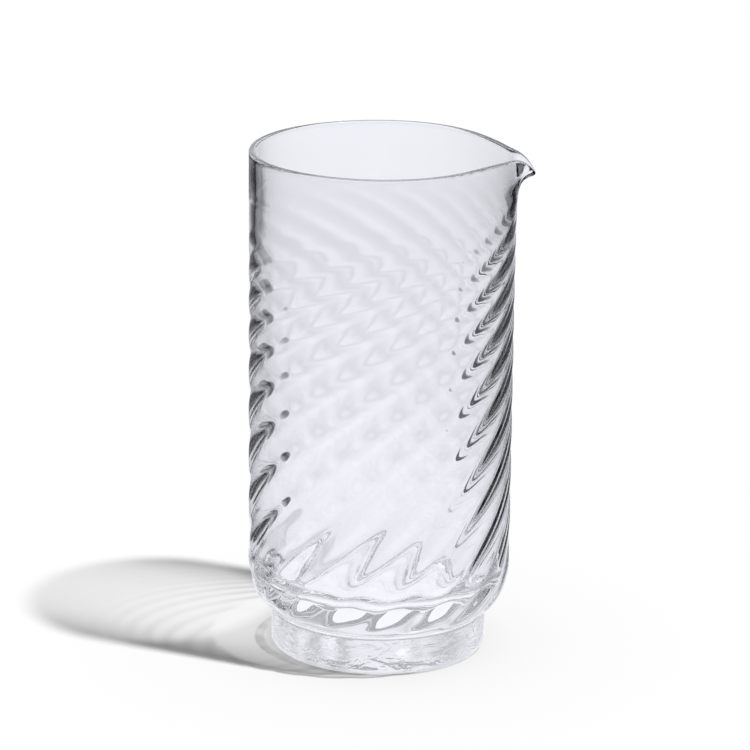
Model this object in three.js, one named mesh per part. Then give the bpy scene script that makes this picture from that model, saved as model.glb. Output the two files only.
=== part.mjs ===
// Mixing glass: a hand-blown cocktail mixing beaker in clear glass.
//
// Two pieces of glass are joined hot. The bowl is blown with spiral ribs, and has
// a fire-polished rim with a pulled pouring spout. The foot is a thick round pad,
// gathered separately and stuck under the bowl.
//
// Millimetres, +Z up. The origin is the centre of the foot's flat underside, and
// the spout points along +X.

import * as THREE from 'three';

// ---- driving dimensions ----

const HEIGHT = 164.5;
const BODY_RADIUS = 42.5;

const FOOT_HEIGHT = 12.5;
const FOOT_RADIUS = 34.8;
const FOOT_TOP_ROUND = 0.6;
const FOOT_BOTTOM_ROUND = 2.1;
const JOINT_RADIUS = 31.6;

// Below this height the bowl draws in to the foot, a little fuller than an ellipse.
const SHOULDER_TOP = 28.8;
const SHOULDER_POWER = 0.93;

const WALL = 2.2;
const RIM_THICKNESS = 2.0;
const RIM_TAPER_LENGTH = 14;

// The inside bottom: a rounded floor of solid glass above the foot.
const FLOOR_HEIGHT = 20.5;
const FLOOR_CURVE_TOP = 33;
const FLOOR_POWER = 0.66;

// Spiral ribs: convex, with narrower grooves, turning anticlockwise as they climb.
const RIB_COUNT = 16;
const RIB_RELIEF = 0.55;
const GROOVE_SHARPNESS = 1.4;
const RIB_START_ANGLE = THREE.MathUtils.degToRad(0.5);
const EVEN_TWIST = 4.13;
const RIM_TWIST = 1.84;
const RIM_TWIST_POWER = 4;
// Opposite the spout the ribs climb a little more steeply.
const TWIST_EASE = 0.00245;
const TWIST_EASE_HEIGHT = 63;
// Heights where the ribs have died away, and where they are full.
const RIB_FOOT_FADE = [FOOT_HEIGHT, 19];
const RIB_RIM_FADE = [155, 112];

// Pouring spout: a narrow beak on a broad, shallow flare. Each is a bump around the
// rim that pulls the wall out and lets it drop, and that dies away below the rim.
const BEAK_PULL = 5.1;
const BEAK_PULL_WIDTH = THREE.MathUtils.degToRad(7.4);
const BEAK_DEPTH = 18;
const BEAK_POWER = 3;
const BEAK_DROP = 4.7;
const BEAK_DROP_WIDTH = THREE.MathUtils.degToRad(5.2);
const FLARE_PULL = 2.25;
const FLARE_PULL_WIDTH = THREE.MathUtils.degToRad(21.4);
const FLARE_DEPTH = 50;
const FLARE_POWER = 2;
const FLARE_DROP = 1.57;
const FLARE_DROP_WIDTH = THREE.MathUtils.degToRad(25.2);
const DROP_DEPTH = 16;
const DROP_POWER = 2;
// Pulling the spout out draws the rim in on both sides of it.
const PINCH = 2.55;
const PINCH_ANGLE = THREE.MathUtils.degToRad(32.3);
const PINCH_WIDTH = THREE.MathUtils.degToRad(29.6);

// Clear glass: the bowl is fire polished, the foot has a faint chill texture.
const BOWL_LOOK = { color: '#e6e8ee', roughness: 0.04, metalness: 0 };
const FOOT_LOOK = { color: '#dfe2e8', roughness: 0.12, metalness: 0 };

// Fineness of the solids.
const COLUMNS_PER_RIB = 5;
const BOWL_COLUMNS = RIB_COUNT * COLUMNS_PER_RIB;
const FOOT_COLUMNS = 64;
const COLUMN_TURN_TOP = 150;
const SPOUT_GATHER = 0.5;
const SPOUT_GATHER_START = 138;
const SHOULDER_STEPS = 6;
const OUTER_WALL_STEPS = 32;
const OUTER_WALL_CROWDING = 1.3;
const RIM_STEPS = 4;
const INNER_WALL_STEPS = 7;
const FLOOR_STEPS = 6;
const CORNER_STEPS = 3;
const SLOPE_STEP = 0.05;

// ---- curves ----

const FULL_TURN = 2 * Math.PI;
const QUARTER_TURN = Math.PI / 2;
const RIM_CENTRE_HEIGHT = HEIGHT - RIM_THICKNESS / 2;

function wallThickness(height) {
  const nearRim = THREE.MathUtils.smoothstep(height, HEIGHT - RIM_TAPER_LENGTH, RIM_CENTRE_HEIGHT);
  return THREE.MathUtils.lerp(WALL, RIM_THICKNESS, nearRim);
}

function twist(height) {
  const climb = height / HEIGHT;
  return EVEN_TWIST * climb + RIM_TWIST * climb ** RIM_TWIST_POWER;
}

// The angle that a ring's columns are turned by, so that they run along the ribs.
// Near the rim they run straight up, and one of them meets the tip of the spout.
function ringTurn(height) {
  return twist(Math.min(height, COLUMN_TURN_TOP)) - twist(COLUMN_TURN_TOP);
}

// The columns gather towards the spout near the rim.
function gathered(angle, height) {
  const nearRim = THREE.MathUtils.smoothstep(height, SPOUT_GATHER_START, RIM_CENTRE_HEIGHT);
  return angle - SPOUT_GATHER * nearRim * Math.sin(angle);
}

// How far the ribs stand out of the wall at a height and an angle from the spout.
function ribRelief(height, angle) {
  const ease = (TWIST_EASE * (height - TWIST_EASE_HEIGHT) * (1 - Math.cos(angle))) / 2;
  const phase = RIB_COUNT * (angle - RIB_START_ANGLE - twist(height) + ease);
  const groove = ((1 - Math.cos(phase)) / 2) ** GROOVE_SHARPNESS;
  const aboveFoot = THREE.MathUtils.smoothstep(height, RIB_FOOT_FADE[0], RIB_FOOT_FADE[1]);
  const belowRim = 1 - THREE.MathUtils.smoothstep(height, RIB_RIM_FADE[1], RIB_RIM_FADE[0]);
  return -RIB_RELIEF * groove * aboveFoot * belowRim;
}

// A smooth bump around the circle: 1 at the centre angle, 0 well away from it.
function bell(angle, centre, width) {
  const away = Math.atan2(Math.sin(angle - centre), Math.cos(angle - centre));
  return Math.exp(-((away / width) ** 2));
}

// 1 at the rim, easing to 0 at a depth below it.
function easeDown(below, depth, power) {
  return Math.max(0, 1 - below / depth) ** power;
}

// Where the middle of the wall lies, at a depth below the rim and an angle.
function wallMiddle(below, angle) {
  const height = RIM_CENTRE_HEIGHT - below;
  const beakPull = BEAK_PULL * bell(angle, 0, BEAK_PULL_WIDTH);
  const flarePull = FLARE_PULL * bell(angle, 0, FLARE_PULL_WIDTH);
  const leftPinch = bell(angle, PINCH_ANGLE, PINCH_WIDTH);
  const rightPinch = bell(angle, -PINCH_ANGLE, PINCH_WIDTH);
  const beakDrop = BEAK_DROP * bell(angle, 0, BEAK_DROP_WIDTH);
  const flareDrop = FLARE_DROP * bell(angle, 0, FLARE_DROP_WIDTH);
  const pull =
    beakPull * easeDown(below, BEAK_DEPTH, BEAK_POWER) +
    (flarePull - PINCH * (leftPinch + rightPinch)) * easeDown(below, FLARE_DEPTH, FLARE_POWER);
  const drop = (beakDrop + flareDrop) * easeDown(below, DROP_DEPTH, DROP_POWER);
  return new THREE.Vector2(BODY_RADIUS - wallThickness(height) / 2 + pull, height - drop);
}

// Bends a point of the straight wall along with the pulled rim, keeping the
// wall's thickness. The result holds its radius and its height.
function bendWithRim(radius, height, angle) {
  const below = Math.max(0, RIM_CENTRE_HEIGHT - height);
  const middle = wallMiddle(below, angle);
  const upward = middle.clone().sub(wallMiddle(below + SLOPE_STEP, angle)).normalize();
  const outward = new THREE.Vector2(upward.y, -upward.x);
  const across = radius - (BODY_RADIUS - wallThickness(height) / 2);
  const beyond = Math.max(0, height - RIM_CENTRE_HEIGHT);
  return middle.addScaledVector(outward, across).addScaledVector(upward, beyond);
}

const INNER_TURN = ringTurn(HEIGHT);

// ---- outlines, as rings from the axis outwards and back to the axis ----
// Each ring has a radius, a height, the angle that it is turned by, and a kind.

function ring(radius, height, turn, kind) {
  return { radius, height, turn, kind };
}

function steps(count) {
  return Array.from({ length: count + 1 }, (_, index) => index / count);
}

function shoulderRings() {
  return steps(SHOULDER_STEPS).map((part) => {
    const swing = (1 - part) * QUARTER_TURN;
    const reach = Math.cos(swing) ** SHOULDER_POWER;
    const fall = Math.sin(swing) ** SHOULDER_POWER;
    const radius = THREE.MathUtils.lerp(JOINT_RADIUS, BODY_RADIUS, reach);
    const height = THREE.MathUtils.lerp(SHOULDER_TOP, FOOT_HEIGHT, fall);
    return ring(radius, height, ringTurn(height), 'ribbed');
  });
}

// The rings crowd together upwards, where the ribs lean over and the spout begins.
function outerWallRings() {
  return steps(OUTER_WALL_STEPS).slice(1).map((part) => {
    const upTo = 1 - (1 - part) ** OUTER_WALL_CROWDING;
    const height = THREE.MathUtils.lerp(SHOULDER_TOP, RIM_CENTRE_HEIGHT, upTo);
    return ring(BODY_RADIUS, height, ringTurn(height), 'ribbed');
  });
}

function rimRings() {
  const middle = BODY_RADIUS - RIM_THICKNESS / 2;
  return steps(RIM_STEPS).slice(1, -1).map((part) => {
    const swing = part * Math.PI;
    const radius = middle + (RIM_THICKNESS / 2) * Math.cos(swing);
    const height = RIM_CENTRE_HEIGHT + (RIM_THICKNESS / 2) * Math.sin(swing);
    return ring(radius, height, ringTurn(height), 'plain');
  });
}

function innerWallRings() {
  return steps(INNER_WALL_STEPS).map((part) => {
    const below = (RIM_CENTRE_HEIGHT - FLOOR_CURVE_TOP) * part ** 2;
    const height = RIM_CENTRE_HEIGHT - below;
    return ring(BODY_RADIUS - wallThickness(height), height, INNER_TURN, 'plain');
  });
}

function floorRings() {
  return steps(FLOOR_STEPS).slice(1).map((part) => {
    const swing = part * QUARTER_TURN;
    const radius = (BODY_RADIUS - WALL) * Math.cos(swing) ** FLOOR_POWER;
    const fall = Math.sin(swing) ** FLOOR_POWER;
    const height = THREE.MathUtils.lerp(FLOOR_CURVE_TOP, FLOOR_HEIGHT, fall);
    return ring(part === 1 ? 0 : radius, height, INNER_TURN, 'plain');
  });
}

// A rounded outside corner of the foot, from one swing angle to the next.
function cornerRings(centreRadius, centreHeight, round, startSwing) {
  return steps(CORNER_STEPS).map((part) => {
    const swing = startSwing + part * QUARTER_TURN;
    const radius = centreRadius + round * Math.cos(swing);
    return ring(radius, centreHeight + round * Math.sin(swing), 0, 'plain');
  });
}

// ---- solids ----

// Turns a list of rings into one closed body.
function bodyFromRings(rings, columns) {
  const outline = rings.map(({ radius, height }) => new THREE.Vector2(radius, height));
  const geometry = new THREE.LatheGeometry(outline, columns);
  const position = geometry.getAttribute('position');
  for (let index = 0; index < position.count; index += 1) {
    const { radius, height, turn, kind } = rings[index % rings.length];
    const column = Math.floor(index / rings.length) % columns;
    const angle = gathered((FULL_TURN * column) / columns + turn, height);
    const relief = kind === 'ribbed' ? ribRelief(height, angle) : 0;
    const bent = radius > BODY_RADIUS / 2 && height > SHOULDER_TOP;
    const spot = bent
      ? bendWithRim(radius + relief, height, angle)
      : new THREE.Vector2(radius + relief, height);
    position.setXYZ(index, spot.x * Math.cos(angle), spot.x * Math.sin(angle), spot.y);
  }
  geometry.computeVertexNormals();
  return geometry;
}

function bowlGeometry() {
  const rings = [
    ring(0, FOOT_HEIGHT, ringTurn(FOOT_HEIGHT), 'plain'),
    ...shoulderRings(),
    ...outerWallRings(),
    ...rimRings(),
    ...innerWallRings(),
    ...floorRings(),
  ];
  return bodyFromRings(rings, BOWL_COLUMNS);
}

function footGeometry() {
  const bottomCentre = [FOOT_RADIUS - FOOT_BOTTOM_ROUND, FOOT_BOTTOM_ROUND];
  const topCentre = [FOOT_RADIUS - FOOT_TOP_ROUND, FOOT_HEIGHT - FOOT_TOP_ROUND];
  const rings = [
    ring(0, 0, 0, 'plain'),
    ...cornerRings(...bottomCentre, FOOT_BOTTOM_ROUND, -QUARTER_TURN),
    ...cornerRings(...topCentre, FOOT_TOP_ROUND, 0),
    ring(0, FOOT_HEIGHT, 0, 'plain'),
  ];
  return bodyFromRings(rings, FOOT_COLUMNS);
}

// ---- the glass ----

function glassMesh(name, geometry, look) {
  const mesh = new THREE.Mesh(geometry, new THREE.MeshStandardMaterial(look));
  mesh.name = name;
  return mesh;
}

const mixingGlass = new THREE.Group();
mixingGlass.add(glassMesh('bowl', bowlGeometry(), BOWL_LOOK));
mixingGlass.add(glassMesh('foot', footGeometry(), FOOT_LOOK));

export default mixingGlass;
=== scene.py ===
import math
import random

import bpy
import numpy as np
from mathutils import Matrix, Vector


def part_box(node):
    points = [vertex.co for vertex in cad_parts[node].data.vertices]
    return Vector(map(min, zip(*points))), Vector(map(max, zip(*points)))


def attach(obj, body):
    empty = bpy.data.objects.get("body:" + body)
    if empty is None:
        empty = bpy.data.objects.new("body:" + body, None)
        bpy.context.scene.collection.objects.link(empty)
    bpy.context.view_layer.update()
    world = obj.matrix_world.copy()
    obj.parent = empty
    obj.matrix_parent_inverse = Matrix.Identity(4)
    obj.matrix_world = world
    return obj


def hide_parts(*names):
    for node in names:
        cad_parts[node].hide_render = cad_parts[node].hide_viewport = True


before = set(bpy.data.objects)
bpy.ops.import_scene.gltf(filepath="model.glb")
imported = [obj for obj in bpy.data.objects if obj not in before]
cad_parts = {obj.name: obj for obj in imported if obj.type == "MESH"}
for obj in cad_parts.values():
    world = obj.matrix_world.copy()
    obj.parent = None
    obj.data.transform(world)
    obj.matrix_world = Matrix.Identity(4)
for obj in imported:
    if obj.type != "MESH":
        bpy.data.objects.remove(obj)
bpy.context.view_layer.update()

# Clear glass shows only what is around it. The camera sees a plain pale floor and a plain
# white background. Rays that have been through the glass, or reflected by it, see a lit
# lane of floor, white walls and dark flags instead, all of them fixed in the world.

# ---- sizes, from the parts in model.glb ----

MM = 0.001
bowl_low, bowl_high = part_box("bowl")
foot_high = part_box("foot")[1]
BODY_RADIUS = -bowl_low.x
HEIGHT = bowl_high.z
FOOT_RADIUS = foot_high.x
FOOT_HEIGHT = foot_high.z

FOOT_BOTTOM_ROUND = 2.1 * MM
FOOT_TOP_ROUND = 0.6 * MM
JOINT_RADIUS = FOOT_RADIUS - 3.2 * MM
SHOULDER_TOP = FOOT_HEIGHT + 16.3 * MM
SHOULDER_POWER = 0.93
WALL = 2.2 * MM
RIM_THICKNESS = 2.0 * MM
RIM_TAPER_LENGTH = 14 * MM
FLOOR_HEIGHT = FOOT_HEIGHT + 8.0 * MM
FLOOR_CURVE_TOP = FOOT_HEIGHT + 20.5 * MM
FLOOR_POWER = 0.66
RIM_CENTRE = HEIGHT - RIM_THICKNESS / 2

# Spiral ribs. The twists are turns in radians from the foot to the rim.
RIB_COUNT = 16
RIB_RELIEF = 0.52 * MM
INNER_RELIEF = -0.20 * MM
INNER_FADE = (110 * MM, 30 * MM)
INNER_FADE_POWER = 3
GROOVE_SHARPNESS = 1.4
RIB_START = math.radians(0.5)
EVEN_TWIST = 4.13
RIM_TWIST = 1.84
RIM_TWIST_POWER = 4
TWIST_EASE = 2.45
TWIST_EASE_HEIGHT = 63 * MM
RIB_FOOT_FADE = (FOOT_HEIGHT, 19 * MM)
RIB_RIM_FADE = (147 * MM, 107 * MM)
# The ribs run on a little higher towards the spout.
RIB_RIM_LIFT = 8 * MM
TURN_TOP = 150 * MM

# Pouring spout: a narrow beak on a broad, shallow flare, pinched in on both sides.
BEAK_PULL = 5.1 * MM
BEAK_PULL_WIDTH = math.radians(7.4)
BEAK_DEPTH = 18 * MM
BEAK_POWER = 3
BEAK_DROP = 4.7 * MM
BEAK_DROP_WIDTH = math.radians(5.2)
FLARE_PULL = 2.25 * MM
FLARE_PULL_WIDTH = math.radians(21.4)
FLARE_DEPTH = 50 * MM
FLARE_POWER = 2
FLARE_DROP = 1.57 * MM
FLARE_DROP_WIDTH = math.radians(25.2)
DROP_DEPTH = 16 * MM
DROP_POWER = 2
PINCH = 2.55 * MM
PINCH_ANGLE = math.radians(32.3)
PINCH_WIDTH = math.radians(29.6)

# Hand-made unevenness of the thick bottom, inside and out: waves of seeded heading,
# phase and pitch.
FLOOR_WAVES = 0.34 * MM
SHOULDER_WAVES = 0.10 * MM
WAVE_COUNT = 9
WAVE_PHASES = (0, 6.28)
WAVE_PITCHES = (9, 24)
WAVE_HEIGHT = 1.6
shuffle = random.Random(7)
WAVES = [
    (
        shuffle.uniform(0, math.pi),
        shuffle.uniform(*WAVE_PHASES),
        shuffle.uniform(*WAVE_PITCHES) * MM,
    )
    for _ in range(WAVE_COUNT)
]

# How finely the meshes are cut. The bowl's columns gather towards the spout.
BOWL_COLUMNS = 320
SHOULDER_STEPS = 30
OUTER_STEPS = 120
RIM_STEPS = 10
INNER_STEPS = 70
INNER_CROWDING = 1.2
INNER_FLOOR_STEPS = 36
SPOUT_GATHER = 0.5
SPOUT_GATHER_START = 138 * MM
FOOT_COLUMNS = 256
BASE_STEPS = 40
FOOT_BOTTOM_STEPS = 10
FOOT_SIDE_STEPS = 20
FOOT_TOP_STEPS = 5
JOINT_RINGS = (0.0, 0.35, 0.7, 0.95)
SHARP_ANGLE = math.radians(35)
NORMAL_STEP = 0.05 * MM

# What a ring's points take part in.
PLAIN, OUTER_RIBS, INNER_WAVES, JOINT, RIM = range(5)
# The part of the rim's rounding, from outside to inside, whose glass is painted dark: painted
# shade for the dark line along the rim.
RIM_SHADE_SPAN = (0.25, 0.65)

# ---- curves ----


def smoothstep(value, start, end):
    part = np.clip((value - start) / (end - start), 0, 1)
    return part * part * (3 - 2 * part)


def wall_thickness(height):
    near_rim = smoothstep(height, HEIGHT - RIM_TAPER_LENGTH, RIM_CENTRE)
    return WALL + (RIM_THICKNESS - WALL) * near_rim


def twist(height):
    climb = height / HEIGHT
    return EVEN_TWIST * climb + RIM_TWIST * climb**RIM_TWIST_POWER


def ring_turn(height):
    return twist(np.minimum(height, TURN_TOP)) - twist(TURN_TOP)


def rib_phase(height, angle):
    ease = TWIST_EASE * (height - TWIST_EASE_HEIGHT) * (1 - np.cos(angle)) / 2
    return RIB_COUNT * (angle - RIB_START - twist(height) + ease)


def rib_fade(height, angle):
    above_foot = smoothstep(height, *RIB_FOOT_FADE)
    lift = RIB_RIM_LIFT * (1 + np.cos(angle)) / 2
    below_rim = 1 - smoothstep(height - lift, RIB_RIM_FADE[1], RIB_RIM_FADE[0])
    return above_foot * below_rim


def rib_relief(height, angle):
    groove = ((1 - np.cos(rib_phase(height, angle))) / 2) ** GROOVE_SHARPNESS
    return -RIB_RELIEF * groove * rib_fade(height, angle)


def inner_relief(radius, height, angle):
    to_wall = min(1.0, radius / (BODY_RADIUS - WALL)) ** INNER_FADE_POWER
    fade = smoothstep(height, *INNER_FADE) * to_wall
    return INNER_RELIEF * np.cos(rib_phase(height, angle)) * fade


def unevenness(x, y):
    """A smooth, seeded waviness between about -1 and 1, a few waves across the bowl."""
    total = np.zeros_like(x)
    for heading, phase, pitch in WAVES:
        along = x * math.cos(heading) + y * math.sin(heading)
        total = total + np.sin(2 * math.pi * along / pitch + phase)
    return total / len(WAVES) * WAVE_HEIGHT


def bell(angle, centre, width):
    away = np.arctan2(np.sin(angle - centre), np.cos(angle - centre))
    return np.exp(-((away / width) ** 2))


def ease_down(below, depth, power):
    return np.maximum(0, 1 - below / depth) ** power


def wall_middle(below, angle):
    height = RIM_CENTRE - below
    beak = BEAK_PULL * bell(angle, 0, BEAK_PULL_WIDTH)
    flare = FLARE_PULL * bell(angle, 0, FLARE_PULL_WIDTH)
    both_sides = bell(angle, PINCH_ANGLE, PINCH_WIDTH) + bell(angle, -PINCH_ANGLE, PINCH_WIDTH)
    pull = beak * ease_down(below, BEAK_DEPTH, BEAK_POWER)
    pull = pull + (flare - PINCH * both_sides) * ease_down(below, FLARE_DEPTH, FLARE_POWER)
    drop = BEAK_DROP * bell(angle, 0, BEAK_DROP_WIDTH)
    drop = drop + FLARE_DROP * bell(angle, 0, FLARE_DROP_WIDTH)
    drop = drop * ease_down(below, DROP_DEPTH, DROP_POWER)
    return BODY_RADIUS - wall_thickness(height) / 2 + pull, height - drop


def bend_with_rim(radius, height, angle):
    """Carries a point of the straight wall along with the pulled and pinched one."""
    below = np.maximum(0, RIM_CENTRE - height)
    middle_r, middle_z = wall_middle(below, angle)
    lower_r, lower_z = wall_middle(below + NORMAL_STEP, angle)
    up_r, up_z = middle_r - lower_r, middle_z - lower_z
    length = np.hypot(up_r, up_z)
    up_r, up_z = up_r / length, up_z / length
    across = radius - (BODY_RADIUS - wall_thickness(height) / 2)
    beyond = np.maximum(0, height - RIM_CENTRE)
    return (
        middle_r + up_z * across + up_r * beyond,
        middle_z - up_r * across + up_z * beyond,
    )


# ---- rings: radius, height, and what their points take part in ----


def spread(count):
    return np.linspace(0, 1, count + 1)[1:]


def bowl_rings():
    rings = [(JOINT_RADIUS * part, FOOT_HEIGHT, JOINT) for part in JOINT_RINGS]
    for part in np.linspace(0, 1, SHOULDER_STEPS + 1):
        swing = (1 - part) * math.pi / 2
        reach = math.cos(swing) ** SHOULDER_POWER if part > 0 else 0.0
        fall = math.sin(swing) ** SHOULDER_POWER if part < 1 else 0.0
        radius = JOINT_RADIUS + (BODY_RADIUS - JOINT_RADIUS) * reach
        height = SHOULDER_TOP + (FOOT_HEIGHT - SHOULDER_TOP) * fall
        rings.append((radius, height, OUTER_RIBS))
    for part in spread(OUTER_STEPS):
        height = SHOULDER_TOP + (RIM_CENTRE - SHOULDER_TOP) * part
        rings.append((BODY_RADIUS, height, OUTER_RIBS))
    for part in np.linspace(0, 1, RIM_STEPS + 1)[1:-1]:
        swing = part * math.pi
        radius = BODY_RADIUS - RIM_THICKNESS / 2 + RIM_THICKNESS / 2 * math.cos(swing)
        height = RIM_CENTRE + RIM_THICKNESS / 2 * math.sin(swing)
        rings.append((radius, height, RIM if RIM_SHADE_SPAN[0] < part < RIM_SHADE_SPAN[1] else PLAIN))
    for part in np.linspace(0, 1, INNER_STEPS + 1):
        height = RIM_CENTRE - (RIM_CENTRE - FLOOR_CURVE_TOP) * part**INNER_CROWDING
        rings.append((BODY_RADIUS - wall_thickness(height), height, INNER_WAVES))
    for part in spread(INNER_FLOOR_STEPS):
        swing = part * math.pi / 2
        cosine = math.cos(swing) if part < 1 else 0.0
        radius = (BODY_RADIUS - WALL) * cosine**FLOOR_POWER
        fall = math.sin(swing) ** FLOOR_POWER
        height = FLOOR_CURVE_TOP + (FLOOR_HEIGHT - FLOOR_CURVE_TOP) * fall
        rings.append((radius, height, INNER_WAVES))
    return rings


def foot_rings():
    rings = []
    for part in np.linspace(0, 1, BASE_STEPS + 1):
        rings.append(((FOOT_RADIUS - FOOT_BOTTOM_ROUND) * part, 0.0, PLAIN))
    for part in spread(FOOT_BOTTOM_STEPS):
        swing = -math.pi / 2 + part * math.pi / 2
        radius = FOOT_RADIUS - FOOT_BOTTOM_ROUND + FOOT_BOTTOM_ROUND * math.cos(swing)
        height = FOOT_BOTTOM_ROUND + FOOT_BOTTOM_ROUND * math.sin(swing)
        rings.append((radius, height, PLAIN))
    for part in spread(FOOT_SIDE_STEPS)[:-1]:
        height = FOOT_BOTTOM_ROUND + (FOOT_HEIGHT - FOOT_TOP_ROUND - FOOT_BOTTOM_ROUND) * part
        rings.append((FOOT_RADIUS, height, PLAIN))
    for part in np.linspace(0, 1, FOOT_TOP_STEPS + 1):
        swing = part * math.pi / 2
        radius = FOOT_RADIUS - FOOT_TOP_ROUND + FOOT_TOP_ROUND * math.cos(swing)
        height = FOOT_HEIGHT - FOOT_TOP_ROUND + FOOT_TOP_ROUND * math.sin(swing)
        rings.append((radius, height, PLAIN))
    rings.append((JOINT_RADIUS, FOOT_HEIGHT, PLAIN))
    for part in reversed(JOINT_RINGS[:-1]):
        rings.append((JOINT_RADIUS * part, FOOT_HEIGHT, JOINT))
    return rings


def face_slot(kinds):
    """The material slot of the faces between two rings: 0 glass, 1 joint, 2 rim with painted
    shade.
    """
    if JOINT in kinds:
        return 1
    return 2 if RIM in kinds else 0


def closed_body(name, rings, columns, shape):
    """One closed mesh from rings that start and end on the axis; shape places a ring's points."""
    points, ring_start = [], []
    for radius, height, kind in rings:
        ring_start.append(len(points))
        if radius == 0:
            points.append((0.0, 0.0, height))
        else:
            points.extend(shape(radius, height, kind, columns))
    faces, slots = [], []
    for index in range(len(rings) - 1):
        here, there = ring_start[index], ring_start[index + 1]
        for column in range(columns):
            after = (column + 1) % columns
            if rings[index][0] == 0:
                face = (here, there + after, there + column)
            elif rings[index + 1][0] == 0:
                face = (here + column, here + after, there)
            else:
                face = (here + column, here + after, there + after, there + column)
            faces.append(face)
            slots.append(face_slot((rings[index][2], rings[index + 1][2])))
    mesh = bpy.data.meshes.new(name)
    mesh.from_pydata([tuple(float(v) for v in point) for point in points], [], faces)
    mesh.polygons.foreach_set("material_index", slots)
    mesh.polygons.foreach_set("use_smooth", [True] * len(faces))
    mesh.set_sharp_from_angle(angle=SHARP_ANGLE)
    mesh.update()
    piece = bpy.data.objects.new(name, mesh)
    bpy.context.scene.collection.objects.link(piece)
    return piece


def bowl_points(radius, height, kind, columns):
    angle = 2 * math.pi * np.arange(columns) / columns + ring_turn(height)
    near_spout = smoothstep(height, SPOUT_GATHER_START, RIM_CENTRE)
    angle = angle - SPOUT_GATHER * near_spout * np.sin(angle)
    across, along = np.cos(angle), np.sin(angle)
    reach = np.full(columns, radius)
    level = np.full(columns, height)
    if kind == OUTER_RIBS:
        reach = reach + rib_relief(height, angle)
    if kind == INNER_WAVES:
        reach = reach + inner_relief(radius, height, angle)
    if kind == INNER_WAVES and height < FLOOR_CURVE_TOP:
        low = 1 - smoothstep(height, FLOOR_HEIGHT, FLOOR_CURVE_TOP)
        level = level + FLOOR_WAVES * low * unevenness(radius * across, radius * along)
    if kind == OUTER_RIBS and height < SHOULDER_TOP:
        span = SHOULDER_TOP - FOOT_HEIGHT
        low = 4 * (height - FOOT_HEIGHT) * (SHOULDER_TOP - height) / span**2
        waves = 1 + unevenness(BODY_RADIUS * across, BODY_RADIUS * along + height)
        reach = reach - SHOULDER_WAVES * low * waves
    if radius > BODY_RADIUS / 2 and height > SHOULDER_TOP:
        reach, level = bend_with_rim(reach, height, angle)
    return np.stack([reach * across, reach * along, level], -1)


def foot_points(radius, height, kind, columns):
    angle = 2 * math.pi * np.arange(columns) / columns
    level = np.full(columns, height)
    return np.stack([radius * np.cos(angle), radius * np.sin(angle), level], -1)


# ---- node helpers ----


def connect(tree, value, socket):
    """Links a socket to a socket, or sets a plain value on it."""
    if isinstance(value, bpy.types.NodeSocket):
        tree.links.new(value, socket)
    else:
        socket.default_value = value


def math_node(tree, operation, *values):
    node = tree.nodes.new("ShaderNodeMath")
    node.operation = operation
    for value, socket in zip(values, node.inputs):
        connect(tree, value, socket)
    return node.outputs["Value"]


def product(tree, *values):
    result = values[0]
    for value in values[1:]:
        result = math_node(tree, "MULTIPLY", result, value)
    return result


def rest_of(tree, value):
    return math_node(tree, "SUBTRACT", 1.0, value)


def flat_length(tree, x, y):
    x_squared, y_squared = math_node(tree, "POWER", x, 2.0), math_node(tree, "POWER", y, 2.0)
    return math_node(tree, "SQRT", math_node(tree, "ADD", x_squared, y_squared))


def map_range(tree, value, start, end, low=0.0, high=1.0, kind="LINEAR"):
    node = tree.nodes.new("ShaderNodeMapRange")
    node.interpolation_type = kind
    connect(tree, value, node.inputs["Value"])
    node.inputs["From Min"].default_value = start
    node.inputs["From Max"].default_value = end
    node.inputs["To Min"].default_value = low
    node.inputs["To Max"].default_value = high
    return node.outputs["Result"]


def smooth_ramp(tree, value, start, end):
    return map_range(tree, value, start, end, kind="SMOOTHSTEP")


def grey_ramp(tree, factor, stops):
    node = tree.nodes.new("ShaderNodeValToRGB")
    while len(node.color_ramp.elements) < len(stops):
        node.color_ramp.elements.new(0.5)
    for stop, (position, level) in zip(node.color_ramp.elements, stops):
        stop.position = position
        stop.color = (level, level, level, 1)
    connect(tree, factor, node.inputs["Fac"])
    return node.outputs["Color"]


def noise(tree, vector, scale, detail=3.0, distortion=0.0):
    node = tree.nodes.new("ShaderNodeTexNoise")
    connect(tree, vector, node.inputs["Vector"])
    node.inputs["Scale"].default_value = scale
    node.inputs["Detail"].default_value = detail
    node.inputs["Distortion"].default_value = distortion
    return node.outputs["Fac"]


def scaled(tree, vector, scale):
    node = tree.nodes.new("ShaderNodeVectorMath")
    node.operation = "SCALE"
    connect(tree, vector, node.inputs[0])
    connect(tree, scale, node.inputs["Scale"])
    return node.outputs["Vector"]


def mixed(tree, factor, first, second):
    node = tree.nodes.new("ShaderNodeMixShader")
    connect(tree, factor, node.inputs["Fac"])
    connect(tree, first, node.inputs[1])
    connect(tree, second, node.inputs[2])
    return node.outputs["Shader"]


def mixed_color(tree, factor, first, second):
    node = tree.nodes.new("ShaderNodeMix")
    node.data_type = "RGBA"
    connect(tree, factor, node.inputs[0])
    connect(tree, first, node.inputs[6])
    connect(tree, second, node.inputs[7])
    return node


def clear_shader(tree, color=None):
    node = tree.nodes.new("ShaderNodeBsdfTransparent")
    if color:
        connect(tree, color, node.inputs["Color"])
    return node.outputs["BSDF"]


def place_and_parts(tree, output):
    """Where a point is on its object, or where a ray of the world points, whole and as X, Y, Z."""
    place = tree.nodes.new("ShaderNodeTexCoord").outputs[output]
    split = tree.nodes.new("ShaderNodeSeparateXYZ")
    connect(tree, place, split.inputs["Vector"])
    return place, split.outputs["X"], split.outputs["Y"], split.outputs["Z"]


def glass_ray(tree):
    """1 for a ray that has just gone through glass or been reflected, else 0."""
    ray = tree.nodes.new("ShaderNodeLightPath")
    through, reflected = ray.outputs["Is Transmission Ray"], ray.outputs["Is Glossy Ray"]
    return math_node(tree, "MAXIMUM", through, reflected)


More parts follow.
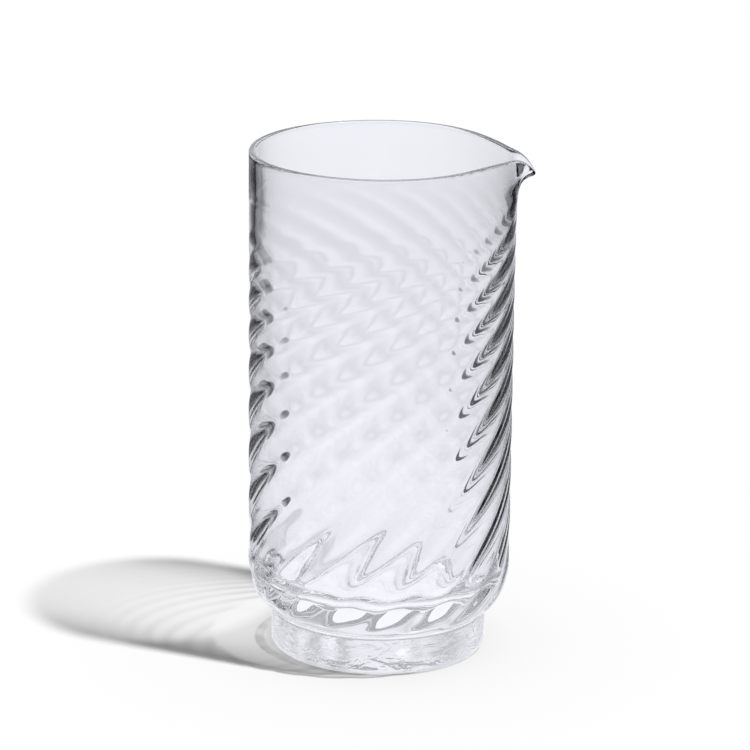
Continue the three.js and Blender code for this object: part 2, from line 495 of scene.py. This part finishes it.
def new_material(name, build):
    material = bpy.data.materials.new(name)
    material.use_nodes = True
    tree = material.node_tree
    tree.nodes.clear()
    output = tree.nodes.new("ShaderNodeOutputMaterial")
    connect(tree, build(tree), output.inputs["Surface"])
    return material


# ---- glass ----

GLASS_IOR = 1.5
CLEAR_GLASS = (0.99, 0.992, 1.0)
# The rim's glass colour is painted shade: dark, standing in for the dark line that the rounded rim
# shows.
RIM_PAINTED_SHADE = (0.30, 0.31, 0.34)

# The painted shadow: how much of a lamp's light a wall lets through, by how far the wall faces
# away from the lamp.
SHADE_STOPS = ((0.0, 0.99), (0.48, 0.978), (0.62, 0.90), (0.76, 0.69), (0.88, 0.52), (1.0, 0.36))
FOOT_SHADE_STOPS = ((0.0, 0.99), (0.5, 0.98), (0.7, 0.96), (0.85, 0.93), (1.0, 0.90))
# The painted shadow is darker high up, standing in for the light that the ribs scatter out of it
# where they lean over.
PAINTED_SCATTER_HEIGHTS = (50 * MM, 150 * MM)
PAINTED_SCATTER_KEPT = 0.93
# Noise mottles the painted shadow, standing in for the streaks that uneven glass throws into it:
# the noise's scale, its middle range, and what it lets through.
MOTTLE_SCALE = 110.0
MOTTLE_RANGE = (0.35, 0.65)
BOWL_SHADOW_MOTTLE = 0.985
FOOT_SHADOW_MOTTLE = 0.80

# Chill wrinkles, drawn out around the foot. Only its side has them: the faces above and
# below are nearly smooth.
FOOT_WRINKLES = 0.60 * MM
WRINKLE_SCALE = 85.0
WRINKLE_STRETCH = (1.0, 1.0, 2.4)
WRINKLE_DISTORTION = 0.8
WRINKLE_EDGE = (2.5 * MM, 0.5 * MM)
WRINKLES_ABOVE_AND_BELOW = 0.06


def wrinkled_normal(tree, depth):
    place, x, y, _ = place_and_parts(tree, "Object")
    stretch = tree.nodes.new("ShaderNodeMapping")
    stretch.inputs["Scale"].default_value = WRINKLE_STRETCH
    connect(tree, place, stretch.inputs["Vector"])
    folds = noise(tree, stretch.outputs["Vector"], WRINKLE_SCALE, distortion=WRINKLE_DISTORTION)
    start, end = FOOT_RADIUS - WRINKLE_EDGE[0], FOOT_RADIUS - WRINKLE_EDGE[1]
    side = map_range(tree, flat_length(tree, x, y), start, end, low=WRINKLES_ABOVE_AND_BELOW)
    bump = tree.nodes.new("ShaderNodeBump")
    connect(tree, product(tree, folds, side), bump.inputs["Height"])
    bump.inputs["Strength"].default_value = 1.0
    bump.inputs["Distance"].default_value = depth
    return bump.outputs["Normal"]


def glass_material(name, color, shade_stops, mottle_low, wrinkles=0.0):
    """Clear glass, with the shadow that it casts painted instead of traced."""

    def build(tree):
        glass = tree.nodes.new("ShaderNodeBsdfPrincipled")
        glass.inputs["Base Color"].default_value = (*color, 1)
        glass.inputs["Roughness"].default_value = 0.0
        glass.inputs["IOR"].default_value = GLASS_IOR
        glass.inputs["Transmission Weight"].default_value = 1
        if wrinkles:
            connect(tree, wrinkled_normal(tree, wrinkles), glass.inputs["Normal"])
        place, _, _, height = place_and_parts(tree, "Object")
        facing = tree.nodes.new("ShaderNodeLayerWeight")
        facing.inputs["Blend"].default_value = 0.5
        shade = grey_ramp(tree, facing.outputs["Facing"], shade_stops)
        painted_scatter = map_range(tree, height, *PAINTED_SCATTER_HEIGHTS, low=1.0, high=PAINTED_SCATTER_KEPT)
        mottle = map_range(tree, noise(tree, place, MOTTLE_SCALE), *MOTTLE_RANGE, low=mottle_low)
        clear = clear_shader(tree, scaled(tree, shade, product(tree, painted_scatter, mottle)))
        ray = tree.nodes.new("ShaderNodeLightPath")
        return mixed(tree, ray.outputs["Is Shadow Ray"], glass.outputs["BSDF"], clear)

    return new_material(name, build)


# ---- the object ----

# The hot join is glass against glass, so nothing bends or shines there.
bowl = closed_body("bowl_glass", bowl_rings(), BOWL_COLUMNS, bowl_points)
bowl.data.materials.append(
    glass_material("bowl_glass_clear", CLEAR_GLASS, SHADE_STOPS, BOWL_SHADOW_MOTTLE))
bowl.data.materials.append(new_material("bowl_joint", clear_shader))
# The middle of the rim's rounding gets the painted shade.
bowl.data.materials.append(glass_material("bowl_rim_painted_shade", RIM_PAINTED_SHADE, SHADE_STOPS, BOWL_SHADOW_MOTTLE))
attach(bowl, "root")
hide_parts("bowl")

foot = closed_body("foot_glass", foot_rings(), FOOT_COLUMNS, foot_points)
foot.data.materials.append(
    glass_material("foot_glass_clear", CLEAR_GLASS, FOOT_SHADE_STOPS, FOOT_SHADOW_MOTTLE, FOOT_WRINKLES))
foot.data.materials.append(new_material("foot_joint", clear_shader))
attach(foot, "root")
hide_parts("foot")

# ---- floor ----

FLOOR_REACH = 6.0
FLOOR_GAP = 0.2 * MM
FLOOR_COLOR = (0.9, 0.9, 0.9, 1)

# Seen through the glass, the lit floor is a lane that widens away from the camera
# between two dark flags. It is a little dimmer and cooler than the floor around it.
LANE_HALF_WIDTH = 0.059
LANE_SPREAD = 0.134
LANE_LEAST = 0.080
LANE_SOFTNESS = 0.010
LANE_FRONT = (-0.10, -0.07)
LANE_COLOR = (0.929, 0.938, 0.988)
LANE_REACH = 0.70
LANE_LEVELS = (
    (0.0, 1.0), (0.12, 1.0), (0.24, 0.99), (0.43, 0.95), (0.60, 0.87), (0.80, 0.94), (1.0, 0.98),
)
# It dims a little towards the right, and under the foot it is painted brighter: painted light, for
# the light that comes down through the foot.
LANE_RIGHT = 0.105
LANE_RIGHT_LEVEL = 0.95
UNDER_FOOT_PAINTED_LIGHT = 1.22
UNDER_FOOT_REACH = 1.3
# The lane glows a little for rays from the glass: painted light, standing in for the light that
# comes through the glass, which shadows the lane only partly.
LANE_PAINTED_LIGHT = 0.70


def lane_end(tree, x, y):
    """0 on the lane, 1 off it."""
    spreading = math_node(tree, "MULTIPLY_ADD", y, LANE_SPREAD, LANE_HALF_WIDTH)
    half_width = math_node(tree, "MAXIMUM", spreading, LANE_LEAST)
    over = math_node(tree, "SUBTRACT", math_node(tree, "ABSOLUTE", x), half_width)
    beside = smooth_ramp(tree, over, -LANE_SOFTNESS / 2, LANE_SOFTNESS / 2)
    before = smooth_ramp(tree, y, LANE_FRONT[1], LANE_FRONT[0])
    return math_node(tree, "MAXIMUM", beside, before)


def lane_color(tree, place, x, y):
    lean = map_range(tree, x, 0.0, LANE_RIGHT, low=1.0, high=LANE_RIGHT_LEVEL)
    level = grey_ramp(tree, map_range(tree, y, 0.0, LANE_REACH), LANE_LEVELS)
    away = tree.nodes.new("ShaderNodeVectorMath")
    away.operation = "LENGTH"
    connect(tree, place, away.inputs[0])
    # Painted light: the lane is brighter under the foot.
    reach = FOOT_RADIUS * UNDER_FOOT_REACH
    under_foot_light = map_range(tree, away.outputs["Value"], FOOT_RADIUS, reach, low=UNDER_FOOT_PAINTED_LIGHT)
    return scaled(tree, LANE_COLOR, product(tree, lean, level, under_foot_light))


def floor_shader(tree):
    place, x, y, _ = place_and_parts(tree, "Object")
    through = glass_ray(tree)
    lane = lane_color(tree, place, x, y)
    paint = tree.nodes.new("ShaderNodeBsdfDiffuse")
    seen = mixed_color(tree, through, FLOOR_COLOR, scaled(tree, lane, 1 - LANE_PAINTED_LIGHT))
    connect(tree, seen.outputs[2], paint.inputs["Color"])
    # Painted light: the lane's glow, shown only to rays from the glass.
    painted_glow = tree.nodes.new("ShaderNodeEmission")
    connect(tree, lane, painted_glow.inputs["Color"])
    connect(tree, product(tree, through, LANE_PAINTED_LIGHT), painted_glow.inputs["Strength"])
    lit = tree.nodes.new("ShaderNodeAddShader")
    connect(tree, paint.outputs["BSDF"], lit.inputs[0])
    connect(tree, painted_glow.outputs["Emission"], lit.inputs[1])
    cut = product(tree, lane_end(tree, x, y), through)
    return mixed(tree, cut, lit.outputs["Shader"], clear_shader(tree))


corners = [(-FLOOR_REACH, -FLOOR_REACH), (FLOOR_REACH, -FLOOR_REACH),
           (FLOOR_REACH, FLOOR_REACH), (-FLOOR_REACH, FLOOR_REACH)]
floor_mesh = bpy.data.meshes.new("floor")
floor_mesh.from_pydata([(x, y, -FLOOR_GAP) for x, y in corners], [], [(0, 1, 2, 3)])
floor = bpy.data.objects.new("floor", floor_mesh)
bpy.context.scene.collection.objects.link(floor)
floor_material = new_material("pale_floor", floor_shader)
floor_material.cycles.emission_sampling = "NONE"
floor.data.materials.append(floor_material)

# ---- light ----

# White backdrops for looks through the glass: the direction in degrees, then the heights
# where each starts and ends, as the ray's upward part.
BACKDROPS = (
    (90, -0.98, -0.95, 0.9, 1.0),
    (135, -0.70, -0.60, -0.365, -0.33),
    (45, -0.70, -0.60, -0.365, -0.33),
)
MAIN_BACKDROP = 90
# How white a backdrop is, by degrees away from its direction.
AZIMUTH_RAMP = (
    (0.0, 1.0), (6.0, 0.99), (9.3, 0.94), (10.5, 0.84), (12.0, 0.58), (14.0, 0.40), (16.0, 0.31),
    (20.0, 0.25), (23.5, 0.18), (26.5, 0.12), (30.0, 0.07), (36.0, 0.03), (45.0, 0.03),
    (180.0, 0.04),
)
SIDE_AZIMUTH_RAMP = (
    (0.0, 0.95), (8.0, 0.90), (14.0, 0.78), (20.0, 0.58), (26.0, 0.38), (32.0, 0.24),
    (40.0, 0.12), (50.0, 0.06), (65.0, 0.03), (90.0, 0.02), (180.0, 0.02),
)
# Dark flags on both sides of the main backdrop: how far aside and how far down each
# starts and is full, and how much it takes away.
RIGHT_FLAG = (0.22, 0.36, 0.205, 0.235, 0.80)
LEFT_FLAG = (0.21, 0.30, 0.250, 0.300, 0.85)
# A white wall goes round the sides and back of the studio: how far it starts from the
# main backdrop's direction, its heights, and how white it is.
WALL_TURN = (math.radians(62), math.radians(80))
WALL_HEIGHTS = (-0.62, -0.50, -0.10, -0.02)
WALL_LEVEL = 0.94
# From just below level upwards the studio is at least an uneven grey, under a darker ceiling.
GREY_START = (-0.16, -0.06)
GREY_LEVEL = 0.84
CLOUD_SCALE = 6.0
CLOUD_CONTRAST = 1.5
CEILING_START = (0.38, 0.50)
CEILING = 0.50
# Steep looks down end on white, and downward looks are a little brighter than level ones.
STEEP_START = (0.62, 0.80)
SLOPE = (-0.45, -0.10)
SLOPE_LEVELS = (1.10, 0.92)
DARK = (0, 0, 0.004, 1)
WHITE = (0.925, 0.935, 0.99, 1)
FILL = 0.24

SUN_STRENGTH = 3.15
SUN_ANGLE = math.radians(2.6)
SUN_ELEVATION = math.radians(63)
SUN_AZIMUTH = math.radians(-25.5)


def between(tree, height, low_start, low_end, high_start, high_end):
    """Two factors, which together are 1 between the middle heights and 0 beyond the outer."""
    start = smooth_ramp(tree, height, low_start, low_end)
    return start, rest_of(tree, smooth_ramp(tree, height, high_start, high_end))


def beside_flag(tree, aside, down, flag):
    """What a dark flag, low down and to one side, leaves of the white backdrop."""
    aside_start, aside_end, down_start, down_end, darkness = flag
    low = smooth_ramp(tree, down, down_start, down_end)
    beyond = smooth_ramp(tree, aside, aside_start, aside_end)
    return rest_of(tree, product(tree, low, beyond, darkness))


def azimuth_curve(tree, offset, ramp):
    curve = tree.nodes.new("ShaderNodeFloatCurve")
    connect(tree, math_node(tree, "DIVIDE", offset, math.pi), curve.inputs["Value"])
    points = curve.mapping.curves[0].points
    while len(points) < len(ramp):
        points.new(0.5, 0.5)
    for point, (angle, value) in zip(points, ramp):
        point.location = (angle / 180, value)
        point.handle_type = "VECTOR"
    curve.mapping.update()
    return curve.outputs["Value"]


def backdrop_offset(tree, x, y, degrees):
    """A direction's angle away from a backdrop's direction, seen from above."""
    heading = math.radians(degrees)
    east = math_node(tree, "MULTIPLY", x, math.cos(heading))
    north = math_node(tree, "MULTIPLY", y, math.sin(heading))
    along = math_node(tree, "DIVIDE", math_node(tree, "ADD", east, north), flat_length(tree, x, y))
    return math_node(tree, "ARCCOSINE", math_node(tree, "MINIMUM", along, 1.0))


def studio_color(tree, ray):
    """What a ray that comes from the glass sees in each direction."""
    direction, x, y, height = place_and_parts(tree, "Generated")
    down = math_node(tree, "MULTIPLY", height, -1.0)
    left = math_node(tree, "MULTIPLY", x, -1.0)
    right_flag = beside_flag(tree, x, down, RIGHT_FLAG)
    left_flag = beside_flag(tree, left, down, LEFT_FLAG)
    flags = product(tree, right_flag, left_flag)
    # Only rays that went straight through the glass see the side and back of the studio,
    # so its reflections don't grey the dark edges.
    reflections = math_node(tree, "MINIMUM", ray.outputs["Glossy Depth"], 1.0)
    unreflected = rest_of(tree, reflections)
    shown = []
    for degrees, *heights in BACKDROPS:
        offset = backdrop_offset(tree, x, y, degrees)
        main = degrees == MAIN_BACKDROP
        across = azimuth_curve(tree, offset, AZIMUTH_RAMP if main else SIDE_AZIMUTH_RAMP)
        kept = flags if main else unreflected
        shown.append(product(tree, across, *between(tree, height, *heights), kept))
        if main:
            turn = smooth_ramp(tree, offset, *WALL_TURN)
            wall = between(tree, height, *WALL_HEIGHTS)
            shown.append(product(tree, turn, *wall, WALL_LEVEL, unreflected))
    clouds = math_node(tree, "SUBTRACT", noise(tree, direction, CLOUD_SCALE), 0.5)
    grey = math_node(tree, "ADD", GREY_LEVEL, product(tree, clouds, CLOUD_CONTRAST))
    shown.append(product(tree, smooth_ramp(tree, height, *GREY_START), grey))
    white = shown[0]
    for other in shown[1:]:
        white = math_node(tree, "MAXIMUM", white, other)
    ceiling = smooth_ramp(tree, height, *CEILING_START)
    below_ceiling = product(tree, white, rest_of(tree, ceiling))
    white = math_node(tree, "ADD", below_ceiling, product(tree, ceiling, CEILING))
    white = math_node(tree, "MAXIMUM", white, smooth_ramp(tree, down, *STEEP_START))
    slope = map_range(tree, height, *SLOPE, low=SLOPE_LEVELS[0], high=SLOPE_LEVELS[1])
    studio = mixed_color(tree, product(tree, white, slope), DARK, WHITE)
    studio.clamp_factor = False
    return studio.outputs[2]


def background(tree, color, strength):
    node = tree.nodes.new("ShaderNodeBackground")
    connect(tree, color, node.inputs["Color"])
    node.inputs["Strength"].default_value = strength
    return node.outputs["Background"]


world = bpy.data.worlds.new("studio")
bpy.context.scene.world = world
world.use_nodes = True
sky = world.node_tree
sky.nodes.clear()
sky_ray = sky.nodes.new("ShaderNodeLightPath")
plain = mixed(
    sky, sky_ray.outputs["Is Camera Ray"],
    background(sky, (1, 1, 1, 1), FILL), background(sky, (1, 1, 1, 1), 1.0))
seen_in_glass = background(sky, studio_color(sky, sky_ray), 1.0)
world_output = sky.nodes.new("ShaderNodeOutputWorld")
connect(sky, mixed(sky, glass_ray(sky), plain, seen_in_glass), world_output.inputs["Surface"])
world.cycles.sampling_method = "NONE"

sun = bpy.data.lights.new("key", "SUN")
sun.energy = SUN_STRENGTH
sun.angle = SUN_ANGLE
key = bpy.data.objects.new("key", sun)
bpy.context.scene.collection.objects.link(key)
to_sun = Vector((
    math.cos(SUN_ELEVATION) * math.cos(SUN_AZIMUTH),
    math.cos(SUN_ELEVATION) * math.sin(SUN_AZIMUTH),
    math.sin(SUN_ELEVATION),
))
key.rotation_euler = to_sun.to_track_quat("Z", "Y").to_euler()

# ---- camera ----

CAMERA_BACK = 28.0 * BODY_RADIUS
CAMERA_UP = 10.413 * BODY_RADIUS
PITCH = 0.288048
YAW = -0.001539
ROLL = 0.010287
FOCAL_PIXELS = 3863.1
IMAGE_PIXELS = 750
SENSOR_WIDTH = 36

camera_data = bpy.data.cameras.new("camera")
camera_data.sensor_width = SENSOR_WIDTH
camera_data.lens = FOCAL_PIXELS * SENSOR_WIDTH / IMAGE_PIXELS
camera = bpy.data.objects.new("camera", camera_data)
bpy.context.scene.collection.objects.link(camera)
forward = Vector((
    math.sin(YAW) * math.cos(PITCH),
    math.cos(YAW) * math.cos(PITCH),
    -math.sin(PITCH),
))
right = Vector((math.cos(YAW), -math.sin(YAW), 0))
up = right.cross(forward)
tilted_right = right * math.cos(ROLL) + up * math.sin(ROLL)
tilted_up = up * math.cos(ROLL) - right * math.sin(ROLL)
camera.matrix_world = Matrix((
    (tilted_right.x, tilted_up.x, -forward.x, 0),
    (tilted_right.y, tilted_up.y, -forward.y, -CAMERA_BACK),
    (tilted_right.z, tilted_up.z, -forward.z, CAMERA_UP),
    (0, 0, 0, 1),
))

scene = bpy.context.scene
scene.camera = camera
scene.view_settings.view_transform = "Standard"
scene.view_settings.look = "None"
# A look through ribbed glass bounces many times before it leaves.
scene.cycles.max_bounces = 128
scene.cycles.transmission_bounces = 96
scene.cycles.glossy_bounces = 96
scene.cycles.transparent_max_bounces = 96
scene.cycles.caustics_refractive = False
scene.cycles.caustics_reflective = False
